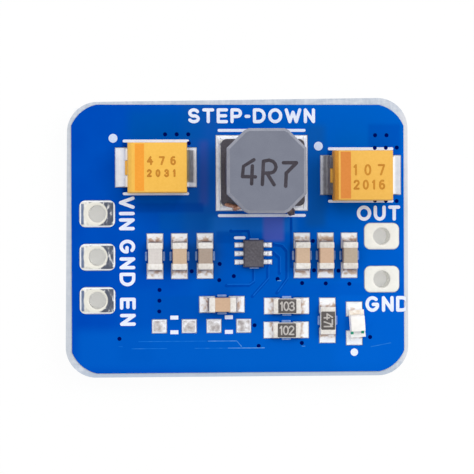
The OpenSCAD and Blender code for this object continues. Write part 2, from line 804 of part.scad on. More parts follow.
module chip_solder() {
    color(solder_grey) {
        for (c = ceramics) on_board(c[1], c[2]) both_ends() translate([chip_l / 2, 0, 0])
            solder_fillet(chip_toe, ceramic_h * solder_climb, chip_land_w,
                chip_w - 2 * ceramic_edge_r);
        for (r = resistors) on_board(r[1], r[2]) both_ends() translate([chip_l / 2, 0, 0])
            solder_fillet(chip_toe, resistor_h * solder_climb, chip_land_w, chip_w);
        intersection() {
            on_board(led[1], led[2]) both_ends() translate([chip_l / 2, 0, 0])
                solder_fillet(led_toe, led_base_h * solder_climb, chip_land_w, chip_w);
            on_board(led_at, 90) translate([0, 0, chip_l / 2])
                cube([chip_l + 2 * led_toe, chip_land_w, chip_l], center = true);
        }
    }
}

// ---------------------------------------------------------------- regulator

module regulator_lead_set() {
    for (i = [-1, 0, 1]) both_ends()
        translate([regulator_l / 2 - 0.25, i * regulator_pitch - regulator_lead_w / 2, 0])
            cube([regulator_lead_out + 0.25, regulator_lead_w, regulator_lead_t]);
}

// Side view of the moulded body: upright beside the leads, sloping above them
module regulator_section(width) {
    d = regulator_draft;
    polygon([[-width / 2, 0], [width / 2, 0], [width / 2, regulator_lead_t],
        [width / 2 - d, regulator_h], [d - width / 2, regulator_h],
        [-width / 2, regulator_lead_t]]);
}

module regulator_body() {
    color([0.23, 0.21, 0.22]) on_board(regulator_at) difference() {
        intersection() {
            rotate([90, 0, 0]) linear_extrude(regulator_w + cut, center = true)
                regulator_section(regulator_l);
            rotate([90, 0, 90]) linear_extrude(regulator_l + cut, center = true)
                regulator_section(regulator_w);
        }
        regulator_lead_set();
    }
}

module regulator_leads() {
    color(tin) on_board(regulator_at) regulator_lead_set();
}

module regulator_solder() {
    color(solder_grey) on_board(regulator_at) for (i = [-1, 0, 1]) both_ends()
        translate([regulator_reach, i * regulator_pitch, 0])
            solder_fillet(regulator_toe, regulator_lead_t, regulator_lead_w + land_margin,
                regulator_lead_w);
}

// Shallow cushion of solder on each spare pad
module spare_pad_solder() {
    dome_r = (pow(norm([spare_pad_l, spare_pad_w]) / 2, 2) + spare_pad_h * spare_pad_h)
        / (2 * spare_pad_h);
    color(solder_grey) for (at = spare_pairs_at, s = [-1, 1])
        on_board([at[0] + s * spare_pad_offset, at[1]]) intersection() {
            translate([0, 0, spare_pad_h - dome_r]) sphere(dome_r, $fn = 96);
            translate([-spare_pad_l / 2, -spare_pad_w / 2, 0])
                cube([spare_pad_l, spare_pad_w, spare_pad_h]);
        }
}

// ---------------------------------------------------------------- nodes

pcb_laminate();
solder_mask_top();
solder_mask_bottom();
legend();
component_lands();
for (p = pins)
    pin_terminal(p);
inductor_core();
inductor_winding();
inductor_resin();
inductor_terminal(-1);  // inductor_input_terminal
inductor_terminal(1);  // inductor_output_terminal
tantalum_body(input_seat);  // input_tantalum_body
tantalum_anode(input_seat);  // input_tantalum_anode
tantalum_cathode(input_seat);  // input_tantalum_cathode
tantalum_band(input_seat);  // input_tantalum_band
tantalum_body(output_seat);  // output_tantalum_body
tantalum_anode(output_seat);  // output_tantalum_anode
tantalum_cathode(output_seat);  // output_tantalum_cathode
tantalum_band(output_seat);  // output_tantalum_band
for (c = ceramics) {
    ceramic(c);
    ceramic_terminals(c);
}
for (r = resistors) {
    resistor(r);
    resistor_overcoat(r);
    resistor_terminals(r);
}
regulator_body();
regulator_leads();
led_base();
led_lens();
led_terminals();
inductor_solder();
tantalum_solder();
chip_solder();
regulator_solder();
spare_pad_solder();
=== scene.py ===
"""Looks of a buck converter module: a small blue circuit board seen from straight above.

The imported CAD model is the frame. Sizes here are in millimetres and are turned into metres where a
mesh is made. Places on the parts come from the boxes of the CAD nodes. Colours are 8-bit screen values.
"""
import json
import math

import bmesh
import bpy
from mathutils import Matrix, Vector, noise


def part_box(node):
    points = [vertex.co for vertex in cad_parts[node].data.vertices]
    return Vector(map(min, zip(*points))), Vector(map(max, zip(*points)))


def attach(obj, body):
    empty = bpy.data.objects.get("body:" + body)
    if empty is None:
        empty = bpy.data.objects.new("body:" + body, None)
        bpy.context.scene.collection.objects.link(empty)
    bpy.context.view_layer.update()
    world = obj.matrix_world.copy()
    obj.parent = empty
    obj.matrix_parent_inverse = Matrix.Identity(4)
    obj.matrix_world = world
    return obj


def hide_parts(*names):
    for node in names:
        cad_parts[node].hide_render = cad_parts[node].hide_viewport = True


MM = 0.001
WELD = 0.0005              # corners closer than this are one corner
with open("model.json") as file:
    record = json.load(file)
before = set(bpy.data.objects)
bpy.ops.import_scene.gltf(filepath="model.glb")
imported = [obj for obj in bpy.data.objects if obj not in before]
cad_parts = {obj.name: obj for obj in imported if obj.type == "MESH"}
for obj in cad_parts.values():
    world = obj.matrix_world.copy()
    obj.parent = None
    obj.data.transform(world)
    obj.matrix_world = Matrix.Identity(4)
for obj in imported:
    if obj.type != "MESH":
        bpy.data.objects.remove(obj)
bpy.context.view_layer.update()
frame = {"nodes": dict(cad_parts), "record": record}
nodes = frame["nodes"]
slot_of = {part["node"]: part["material_slot"] for part in frame["record"]["subparts"]}


# --------------------------------------------------------- boxes in mm


class Box:
    """A CAD node's box in millimetres."""

    def __init__(self, node):
        low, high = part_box(node)
        self.low = low / MM
        self.high = high / MM
        self.centre = (self.low + self.high) / 2
        self.size = self.high - self.low


mask = Box("solder_mask_top")
BOARD_TOP = mask.high.z
inductor = Box("inductor_core")
input_pins = ["input_terminal", "input_ground_terminal", "enable_terminal"]
output_pins = ["output_terminal", "output_ground_terminal"]
resistors = ["upper_feedback_resistor", "lower_feedback_resistor", "led_resistor"]


# ---------------------------------------------------------- node trees


def linear(colour):
    """Linear colour from 8-bit screen values; a colour with four values is linear already."""
    if len(colour) == 4:
        return colour
    shares = [value / 255 for value in colour]
    return (*[s / 12.92 if s <= 0.04045 else ((s + 0.055) / 1.055) ** 2.4 for s in shares], 1.0)


def grey(level):
    """Linear grey, for a ramp that gives a plain factor."""
    return (level, level, level, 1.0)


class Nodes:
    """A node tree built by short calls; a value is another node's output or a plain value."""

    def __init__(self, tree):
        self.tree = tree

    def add(self, kind, **settings):
        node = self.tree.nodes.new("ShaderNode" + kind)
        for key, value in settings.items():
            setattr(node, key, value)
        return node

    def feed(self, value, socket):
        """Links an output to a socket, or sets the socket to a plain value."""
        if hasattr(value, "is_linked"):
            self.tree.links.new(value, socket)
        else:
            socket.default_value = value

    def maths(self, operation, *values, kind="Math", output="Value"):
        """Result of a sum on outputs or plain values."""
        node = self.add(kind, operation=operation)
        for value, socket in zip(values, node.inputs):
            self.feed(value, socket)
        return node.outputs[output]

    def fit(self, factor, low, high, start=0.0, end=1.0, kind="LINEAR"):
        """A factor whose stretch from low to high becomes start to end, held past both."""
        node = self.add("MapRange", interpolation_type=kind)
        for value, socket in zip((factor, low, high, start, end), node.inputs):
            self.feed(value, socket)
        return node.outputs["Result"]

    def parts(self, vector):
        """The outputs X, Y and Z of a vector."""
        node = self.add("SeparateXYZ")
        self.feed(vector, node.inputs["Vector"])
        return node.outputs

    def ramp(self, factor, *stops):
        """Colour from a factor; each stop is (position, colour)."""
        ramp = self.add("ValToRGB")
        elements = ramp.color_ramp.elements
        while len(elements) < len(stops):
            elements.new(1.0)
        for element, (position, colour) in zip(elements, stops):
            element.position = position
            element.color = linear(colour)
        self.feed(factor, ramp.inputs["Fac"])
        return ramp.outputs["Color"]

    def mix(self, factor, first, second):
        """Blend of two colours; a factor of 1 gives the second."""
        node = self.add("Mix", data_type="RGBA")
        for value, socket in zip((factor, first, second), (node.inputs["Factor"], *node.inputs[6:8])):
            self.feed(linear(value) if isinstance(value, tuple) else value, socket)
        return node.outputs[2]

    def backdrop_rays(self):
        """1 for rays that see the white backdrop: from the camera, off metal and through clear parts."""
        path = self.add("LightPath").outputs
        seen = self.maths("MAXIMUM", path["Is Camera Ray"], path["Is Glossy Ray"])
        return self.maths("MAXIMUM", seen, path["Is Transmission Ray"])


class Finish(Nodes):
    """A node material whose colour, roughness and relief come from procedural textures."""

    def __init__(self, name, roughness=0.5, metallic=0.0, specular=0.5):
        self.material = bpy.data.materials.new(name)
        self.material.use_nodes = True
        super().__init__(self.material.node_tree)
        self.shader = self.tree.nodes["Principled BSDF"]
        self.feed(roughness, self.shader.inputs["Roughness"])
        self.feed(metallic, self.shader.inputs["Metallic"])
        self.feed(specular, self.shader.inputs["Specular IOR Level"])
        self.place = self.add("TexCoord").outputs["Object"]

    def stretch(self, x, y, z):
        """Place, scaled unevenly, so that grain runs along one way."""
        mapping = self.add("Mapping")
        self.feed((x, y, z), mapping.inputs["Scale"])
        self.feed(self.place, mapping.inputs["Vector"])
        return mapping.outputs["Vector"]

    def grain(self, size, detail=2.0, place=None):
        """Noise from 0 to 1 whose blotches are about this many millimetres across."""
        texture = self.add("TexNoise")
        self.feed(1 / (size * MM), texture.inputs["Scale"])
        self.feed(detail, texture.inputs["Detail"])
        self.feed(place or self.place, texture.inputs["Vector"])
        return texture.outputs["Fac"]

    def clouds(self, size, dark, light, low=0.3, high=0.7, detail=2.0):
        """Colour that drifts between two tones."""
        return self.ramp(self.grain(size, detail), (low, dark), (high, light))

    def spread(self, factor, low, high):
        """Noise, stretched from its usual reach to low..high."""
        return self.fit(factor, 0.3, 0.7, low, high)

    def along(self, axis, low, high, wobble=0.0, size=0.3):
        """A factor from 0 to 1 between two places on an axis, with an uneven edge."""
        factor = self.fit(self.parts(self.place)[axis], low * MM, high * MM)
        if wobble:
            factor = self.maths("ADD", factor, self.spread(self.grain(size), -wobble, wobble))
        return factor

    def spot(self, x, y, rx, ry, soft=0.3, level=1.0):
        """A factor that is level inside an ellipse on the board and falls to 0 past its edge."""
        shift = self.maths("SUBTRACT", self.place, (x * MM, y * MM, 0), kind="VectorMath", output="Vector")
        shrink = self.maths("MULTIPLY", shift, (1 / (rx * MM), 1 / (ry * MM), 0),
                            kind="VectorMath", output="Vector")
        length = self.maths("LENGTH", shrink, kind="VectorMath")
        return self.fit(length, 1 + soft, 1 - soft, 0.0, level, "SMOOTHSTEP")

    def panel(self, x, y, half_x, half_y, soft=0.1, level=1.0):
        """A factor that is level inside a rectangle on the board, with soft edges."""
        axes = self.parts(self.place)
        shares = []
        for axis, middle, half, top in (("X", x, half_x, level), ("Y", y, half_y, 1.0)):
            distance = self.maths("ABSOLUTE", self.maths("SUBTRACT", axes[axis], middle * MM))
            shares.append(self.fit(distance, (half + soft) * MM, (half - soft) * MM, 0.0, top, "SMOOTHSTEP"))
        return self.maths("MULTIPLY", *shares)

    def colour(self, output):
        self.feed(output, self.shader.inputs["Base Color"])

    def roughness(self, output):
        self.feed(output, self.shader.inputs["Roughness"])

    def relief(self, height, depth):
        """Bump of this depth in millimetres from a height texture."""
        bump = self.add("Bump")
        self.feed(depth * MM, bump.inputs["Distance"])
        self.feed(height, bump.inputs["Height"])
        self.feed(bump.outputs["Normal"], self.shader.inputs["Normal"])


# ----------------------------------------------------------- materials


def speckled(name, base, dark, light, size, roughness, specular=0.4, relief=0.0, metallic=0.0):
    """Matt or metal surface with fine speckle round one colour."""
    finish = Finish(name, roughness, metallic, specular)
    fine = finish.grain(size, 3)
    broad = finish.grain(size * 14)
    tone = finish.ramp(fine, (0.28, dark), (0.5, base), (0.72, light))
    cloudy = finish.ramp(broad, (0.3, dark), (0.5, base), (0.7, light))
    finish.colour(finish.mix(0.45, tone, cloudy))
    finish.roughness(finish.spread(broad, roughness * 0.85, min(1.0, roughness * 1.15)))
    if relief:
        finish.relief(fine, relief)
    return finish.material


# tones of copper planes and gaps below the lacquer, and painted shade and reflection round the inductor: (x,
# y, half length, half width, colour, soft edge, share)
COPPER_TONES_AND_SHADE_PATCHES = (
    (-0.5, -6.6, 9.0, 1.2, (2, 94, 197), 0.5, 0.7), (7.9, -5.0, 2.2, 2.6, (2, 96, 204), 0.5, 0.6),
    # the patches at (-2.1, 2.9), (-1.98, 3.8) and (4.6, 3.6) are painted shade beside the inductor; those at
    # (0.9, 0.75) and (2.12, 0.5) below it are partly painted reflection and shade
    (6.2, 6.6, 3.9, 1.2, (0, 92, 192), 0.5, 0.6), (-2.1, 2.9, 1.1, 5.0, (18, 82, 168), 0.45, 0.75),
    (-1.98, 3.8, 0.24, 1.9, (54, 76, 162), 0.22, 0.6), (4.6, 3.6, 0.6, 3.0, (14, 84, 164), 0.3, 0.7),
    (0.9, 0.75, 2.6, 0.5, (24, 104, 196), 0.25, 0.7), (2.12, 0.5, 0.6, 0.72, (76, 90, 180), 0.16, 0.8),
    (8.7, 5.7, 0.95, 0.95, (0, 74, 178), 0.15, 0.6), (-4.2, 6.6, 2.2, 0.9, (0, 82, 170), 0.4, 0.6),
    (-4.0, 1.75, 2.0, 0.28, (0, 62, 160), 0.12, 0.6), (-3.0, 0.9, 1.6, 0.5, (4, 84, 170), 0.2, 0.5),
    (-0.5, 0.0, 0.75, 0.35, (0, 70, 164), 0.1, 0.5), (6.2, -3.1, 3.6, 0.35, (0, 84, 190), 0.1, 0.5),
    (-3.3, -4.2, 1.6, 0.75, (0, 80, 176), 0.1, 0.5), (-6.0, -5.2, 1.0, 2.2, (0, 84, 186), 0.4, 0.5),
)


def painted_shade_beside_parts():
    """Painted shade on the lacquer close beside the chips, the regulator and the tantalum cases."""
    shades = []
    for name, slot in slot_of.items():
        if slot in ("ceramic", "alumina", "regulator_mould", "tantalum_mould"):
            box = Box(name)
            beyond = 0.05 if slot == "regulator_mould" else 0.1
            reach = (box.size.x / 2 + beyond, box.size.y / 2 + beyond)
            shades.append((box.centre.x, box.centre.y, *reach, (0, 40, 118), 0.09, 0.6))
    return tuple(shades)


def solder_mask(name, patches):
    """Blue lacquer, deeper at the input end, with clouds and soft patches."""
    finish = Finish(name, 0.5, 0.0, 0.0)
    across = finish.along("X", -10, 10, 0.06, 3.0)
    base = finish.ramp(across, (0.0, (0, 66, 176)), (0.22, (0, 74, 182)), (0.45, (0, 84, 186)),
                       (0.75, (0, 90, 192)), (1.0, (0, 94, 202)))
    tone = finish.mix(0.25, base, finish.clouds(1.6, (0, 76, 178), (0, 90, 194)))
    for x, y, half_x, half_y, colour, soft, share in patches:
        tone = finish.mix(finish.panel(x, y, half_x, half_y, soft, share), tone, colour)
    finish.colour(tone)
    finish.roughness(finish.spread(finish.grain(0.22), 0.45, 0.6))
    return finish.material


def glass_epoxy():
    """Routed edge and bare rim of the board: pale weave under resin, another tone along three sides."""
    finish = Finish("glass_epoxy", 0.6, 0.0, 0.3)
    along = finish.grain(0.16, place=finish.stretch(0.25, 1.0, 1.0))
    across = finish.grain(0.16, place=finish.stretch(1.0, 0.25, 1.0))
    weave = finish.mix(0.5, along, across)
    tone = finish.ramp(weave, (0.35, (178, 188, 202)), (0.5, (192, 200, 212)), (0.65, (206, 212, 221)))
    tone = finish.mix(finish.panel(10.2, 0.0, 0.6, 7.4, 0.3, 0.8), tone, (216, 217, 223))
    tone = finish.mix(finish.panel(0.0, -8.3, 9.0, 0.6, 0.3, 0.8), tone, (176, 187, 203))
    tone = finish.mix(finish.panel(-10.2, 0.0, 0.6, 7.4, 0.3, 0.6), tone, (192, 196, 202))
    finish.colour(tone)
    finish.relief(weave, 0.01)
    return finish.material


def levelled_tin(name, wave_size, wave_depth, roughness, base, shade, metallic):
    """Tin: frosted pale metal with slow waves."""
    finish = Finish(name, roughness, metallic, 0.5)
    wave = finish.grain(wave_size, 1.5)
    frost = finish.grain(0.08)
    finish.colour(finish.ramp(finish.mix(0.35, wave, frost), (0.3, shade), (0.6, base)))
    finish.roughness(finish.spread(frost, roughness * 0.85, roughness * 1.2))
    finish.relief(wave, wave_depth)
    return finish.material


def fillet_solder_painted_light(name, rise):
    """Solder that climbs a chip's end: white at the foot, partly a painted highlight; higher up, painted tan
    reflections of the chip in blotches; painted shade where it meets the chip.
    """
    finish = Finish(name, 0.4, 0.0, 0.5)
    height = finish.along("Z", BOARD_TOP, BOARD_TOP + rise, 0.1, 0.3)
    clear = finish.ramp(height, (0.0, (240, 243, 250)), (0.2, (248, 248, 250)), (0.5, (226, 218, 210)),
                        (0.72, (182, 172, 164)), (0.88, (86, 80, 80)))
    tan_reflection = finish.ramp(height, (0.0, (238, 242, 250)), (0.1, (240, 238, 238)), (0.24, (204, 180, 160)),
                         (0.58, (168, 134, 108)), (0.84, (76, 68, 68)))
    finish.colour(finish.mix(finish.clouds(0.32, grey(0), grey(1), 0.42, 0.58, 1), clear, tan_reflection))
    return finish.material


def light_banded(name, *stops, ends=None):
    """Metal with its light and shade painted in bands along X; each stop is (place in millimetres, colour).

    With ends (the middle and half of the width in millimetres) the tone turns white beyond them."""
    finish = Finish(name, 0.4, 0.0, 0.4)
    low, high = stops[0][0], stops[-1][0]
    factor = finish.along("X", low, high, 0.03, 0.25)
    tone = finish.ramp(factor, *[((place - low) / (high - low), colour) for place, colour in stops])
    tone = finish.mix(0.12, tone, finish.clouds(0.3, (150, 148, 148), (252, 250, 248)))
    if ends:
        inside = finish.panel((low + high) / 2, ends[0], 2.0, ends[1], 0.06)
        tone = finish.mix(inside, (240, 241, 245), tone)
    finish.colour(tone)
    return finish.material


def milky_lens():
    finish = Finish("led_epoxy", 0.35, 0.0, 0.5)
    finish.colour(finish.clouds(0.3, (238, 236, 232), (248, 245, 242)))
    return finish.material


def led_plating():
    """Plated ends of the LED: cream with a brown spot at the upper end, white at the lower end."""
    finish = Finish("led_terminal", 0.4, 0.0, 0.5)
    upper = finish.clouds(0.2, (222, 204, 184), (246, 240, 230), 0.3, 0.65)
    upper = finish.mix(finish.spot(6.92, -4.2, 0.15, 0.09, 0.03, 0.9), upper, (116, 84, 74))
    lower = finish.clouds(0.2, (238, 238, 238), (252, 252, 251), 0.3, 0.65)
    end = finish.ramp(finish.along("Y", -5.2, -4.6, 0.02), (0.4, grey(0)), (0.6, grey(1)))
    finish.colour(finish.mix(end, lower, upper))
    return finish.material


def pillow_solder():
    """Old solder on the spare pads: mottled on top, white where it thins out."""
    finish = Finish("pillow_solder", 0.4, 0.0, 0.4)
    mottle = finish.ramp(finish.grain(0.32, 3), (0.34, (150, 140, 138)), (0.5, (196, 192, 192)),
                         (0.66, (240, 241, 246)))
    height = finish.along("Z", BOARD_TOP, BOARD_TOP + 0.09)
    thick = finish.ramp(height, (0.25, grey(0)), (0.6, grey(0.9)))
    finish.colour(finish.mix(thick, (240, 243, 250), mottle))
    return finish.material


def inductor_tin():
    """Silver and solder at the inductor's foot: cream, with a painted greenish-grey reflection half way
    along its left side.
    """
    finish = Finish("inductor_tin", 0.4, 0.0, 0.4)
    cream = finish.clouds(0.3, (236, 232, 225), (254, 252, 247))
    greenish_reflection = finish.clouds(0.3, (158, 160, 146), (206, 208, 192))
    finish.colour(finish.mix(finish.panel(-1.2, 4.1, 0.6, 0.9, 0.5, 0.85), cream, greenish_reflection))
    return finish.material


# speckled finishes of whole slots:
# slot: (name, colour, darker, lighter, grain, roughness, sheen, relief, share of metal)
PLAIN_FINISHES = {
    "legend_ink": ("legend_ink", (226, 232, 250), (206, 216, 244), (240, 243, 252), 0.07, 0.6),
    "ferrite": ("ferrite", (116, 120, 134), (110, 114, 128), (122, 126, 139), 0.06, 0.62, 0.2, 0.002),
    # the lighter, nearly white tone of the copper wire is partly painted glints
    "copper_wire": ("enamelled_copper", (158, 108, 86), (92, 58, 48), (232, 206, 188),
                    0.12, 0.35, 0.5, 0.0, 0.2),
    "magnetic_resin": ("magnetic_resin", (74, 70, 78), (58, 54, 60), (92, 86, 92), 0.12, 0.5, 0.3, 0.004),
    "tantalum_mould": ("yellow_mould", (237, 184, 79), (234, 179, 72), (241, 190, 86), 0.16, 0.6, 0.2),
    "band_ink": ("orange_band", (236, 154, 48), (232, 148, 42), (240, 160, 56), 0.12, 0.6, 0.2),
    "ceramic": ("tan_ceramic", (212, 182, 154), (200, 166, 136), (222, 196, 170), 0.09, 0.45, 0.3, 0.002),
    "chip_terminal": ("plated_end", (222, 218, 212), (198, 190, 182), (238, 236, 234),
                      0.14, 0.42, 0.5, 0.002, 0.05),
    "alumina": ("alumina", (238, 236, 230), (220, 218, 212), (248, 247, 244), 0.05, 0.5),
    "overcoat": ("black_glaze", (84, 79, 78), (70, 66, 66), (98, 92, 90), 0.07, 0.4, 0.3, 0.002),
    "regulator_mould": ("black_mould", (88, 85, 92), (66, 63, 70), (112, 109, 116), 0.12, 0.6, 0.25, 0.003),
    "led_base": ("led_base", (240, 241, 240), (228, 229, 230), (250, 250, 248), 0.06, 0.5),
}
# the same for small areas: name: (colour, darker, lighter, grain, roughness, sheen, relief, share of metal)
SMALL_FINISHES = {
    "via_shade": ((0, 14, 96), (0, 8, 70), (0, 22, 116), 0.08, 0.9, 0.0),
    "brightened_barrel_tin": ((250, 249, 243), (244, 243, 238), (253, 252, 248), 0.2, 0.3, 0.5, 0.0, 0.8),
    "pale_tin": ((232, 231, 224), (226, 225, 218), (238, 237, 231), 0.3, 0.5, 0.3),
    "shaded_ink": ((128, 156, 208), (96, 132, 198), (168, 186, 222), 0.12, 0.6, 0.0),
    "thin_ink": ((198, 212, 240), (176, 196, 234), (216, 226, 244), 0.12, 0.6, 0.0),
    "dark_track": ((0, 70, 170), (0, 64, 160), (0, 78, 180), 0.4, 0.6, 0.0),
    "track_highlight": ((12, 98, 200), (6, 92, 194), (22, 106, 206), 0.4, 0.6, 0.0),
    "glint_dim": ((22, 108, 204), (4, 95, 198), (52, 126, 210), 0.4, 0.6, 0.0),
    "glint_lit": ((80, 144, 216), (40, 118, 206), (120, 170, 224), 0.3, 0.6, 0.0),
    "brown_mould": ((231, 178, 81), (228, 173, 74), (235, 184, 88), 0.16, 0.6, 0.2),
    "brown_band": ((214, 131, 57), (210, 126, 52), (219, 137, 64), 0.12, 0.6, 0.2),
    "shaded_side_mould": ((224, 154, 58), (212, 142, 50), (234, 166, 68), 0.16, 0.6, 0.2),
    "ferrite_edge": ((138, 141, 153), (122, 125, 138), (158, 160, 171), 0.05, 0.5, 0.35, 0.01),
    # the dark brown wire end; its lighter tone paints a tan highlight
    "dark_wire_with_highlight": ((78, 64, 64), (52, 44, 48), (146, 112, 96), 0.25, 0.4, 0.4),
    "led_mark": ((24, 132, 104), (14, 112, 88), (40, 150, 120), 0.1, 0.5, 0.2),
    "dark_ink": ((64, 60, 67), (54, 50, 57), (78, 74, 82), 0.08, 0.7, 0.1),
    "laser_mark": ((190, 124, 34), (176, 110, 28), (204, 142, 50), 0.1, 0.6, 0.2),
    "grey_mark": ((186, 182, 178), (170, 166, 162), (200, 196, 192), 0.05, 0.6, 0.2),
}
finishes = {
    "laminate": glass_epoxy(),
    "solder_mask": solder_mask("solder_mask_blue", COPPER_TONES_AND_SHADE_PATCHES + painted_shade_beside_parts()),
    "tin": levelled_tin("land_tin", 0.4, 0.02, 0.4, (244, 244, 246), (214, 218, 226), 0.15),
    "silver_terminal": inductor_tin(),
    "tantalum_lead": levelled_tin("tinned_strip", 0.35, 0.01, 0.35, (246, 243, 240), (220, 218, 216), 0.25),
    "regulator_lead": levelled_tin("plated_lead", 0.1, 0.01, 0.4, (238, 240, 246), (206, 208, 216), 0.2),
    "led_lens": milky_lens(),
    "led_terminal": led_plating(),
    "solder": levelled_tin("bright_solder", 0.3, 0.02, 0.35, (242, 244, 250), (214, 216, 224), 0.2),
}
finishes.update({slot: speckled(*values) for slot, values in PLAIN_FINISHES.items()})
looks = {name: speckled(name, *values) for name, values in SMALL_FINISHES.items()}


# -------------------------------------------------------- mesh helpers

# degrees between two faces: taken as one face, with a rounded edge, with an edge that shades sharp
FLAT_WITHIN = 1.5
BEVEL_FROM = 28
SHARP_FROM = 35


def new_object(name, data):
    made = bpy.data.objects.new(name, data)
    bpy.context.scene.collection.objects.link(made)
    return made


def add_piece(name, mesh, slot, material=None, smooth=True):
    """A new piece of the object, in place, which rides on the board."""
    piece = new_object(name, mesh)
    if not mesh.materials:
        mesh.materials.append(material or finishes[slot])
    if smooth:
        mesh.shade_smooth()
        mesh.set_sharp_from_angle(angle=math.radians(SHARP_FROM))
    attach(piece, "root")
    return piece


def mesh_from(name, vertices, faces):
    """Mesh from corners in millimetres."""
    mesh = bpy.data.meshes.new(name)
    mesh.from_pydata([Vector(v) * MM for v in vertices], [], faces)
    mesh.update()
    return mesh


def soften(name, radius, segments=2, slip=0.0):
    """Replaces a CAD node by a copy with edges of this radius, moved by slip towards +X."""
    mesh = nodes[name].data.copy()
    rounded = bmesh.new()
    rounded.from_mesh(mesh)
    bmesh.ops.remove_doubles(rounded, verts=rounded.verts, dist=WELD * MM)
    bmesh.ops.dissolve_limit(rounded, angle_limit=math.radians(FLAT_WITHIN), verts=rounded.verts,
                             edges=rounded.edges)
    rounded.to_mesh(mesh)
    rounded.free()
    if "custom_normal" in mesh.attributes:
        mesh.attributes.remove(mesh.attributes["custom_normal"])
    holder = new_object("holder", mesh)
    bevel = holder.modifiers.new("edges", "BEVEL")
    bevel.width = radius * MM
    bevel.segments = segments
    bevel.limit_method = "ANGLE"
    bevel.angle_limit = math.radians(BEVEL_FROM)
    bevel.use_clamp_overlap = True
    view = bpy.context.evaluated_depsgraph_get()
    finished = bpy.data.meshes.new_from_object(holder.evaluated_get(view))
    bpy.data.objects.remove(holder)
    finished.materials.clear()
    finished.materials.append(finishes[slot_of[name]])
    finished.transform(Matrix.Translation((slip * MM, 0, 0)))
    piece = add_piece(name + "_rounded", finished, slot_of[name])
    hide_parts(name)
    return piece


def paint_faces(mesh, material, chosen):
    """Gives the faces of a mesh that a test picks a material of their own."""
    mesh.materials.append(material)
    index = len(mesh.materials) - 1
    for face in mesh.polygons:
        if chosen(face.center / MM, face.normal):
            face.material_index = index


def strip(first, second, count):
    """Faces between two rings of corners that start at these numbers."""
    return [[first + i, second + i, second + (i + 1) % count, first + (i + 1) % count] for i in range(count)]


def flipped(faces):
    return [face[::-1] for face in faces]


def circle(radius, count):
    """Points on a circle about the origin."""
    angles = [2 * math.pi * i / count for i in range(count)]
    return [Vector((math.cos(a), math.sin(a))) * radius for a in angles]


def plain_slab(name, slot, x, y, z, material):
    """A thin upright block between pairs of places in millimetres."""
    corners = [(a, b, c) for c in z for a, b in ((x[0], y[0]), (x[1], y[0]), (x[1], y[1]), (x[0], y[1]))]
    faces = [(4, 5, 6, 7), (0, 1, 5, 4), (1, 2, 6, 5), (2, 3, 7, 6), (3, 0, 4, 7), (3, 2, 1, 0)]
    return add_piece(name, mesh_from(name, corners, faces), slot, material, smooth=False)


def wire_end(name, points, radius, material):
    """A round wire along points in millimetres, closed by rounded ends."""
    sides = 12
    shares = (0.05, 0.7, 1.0)
    path = [(points[0], share) for share in shares]
    path += [(place, 1.0) for place in points[1:-1]]
    path += [(points[-1], share) for share in shares[::-1]]
    way = (Vector(points[-1]) - Vector(points[0])).normalized()
    across = way.cross(Vector((0, 0, 1))).normalized()
    up = across.cross(way)
    vertices, faces = [], []
    for number, (place, share) in enumerate(path):
        reach = (1 - share) * radius * (1 if number > len(path) / 2 else -1)
        for point in circle(radius * share, sides):
            vertices.append(Vector(place) + way * reach + across * point.x + up * point.y)
    for ring in range(len(path) - 1):
        faces += strip((ring + 1) * sides, ring * sides, sides)
    return add_piece(name, mesh_from(name, vertices, faces), "copper_wire", material)


# ----------------------------------------------------------- lettering


def arc(x, y, rx, ry, start, end, steps=14):
    """Points on part of an ellipse, angles in degrees."""
    angles = [math.radians(start + (end - start) * i / steps) for i in range(steps + 1)]
    return [(x + rx * math.cos(a), y + ry * math.sin(a)) for a in angles]


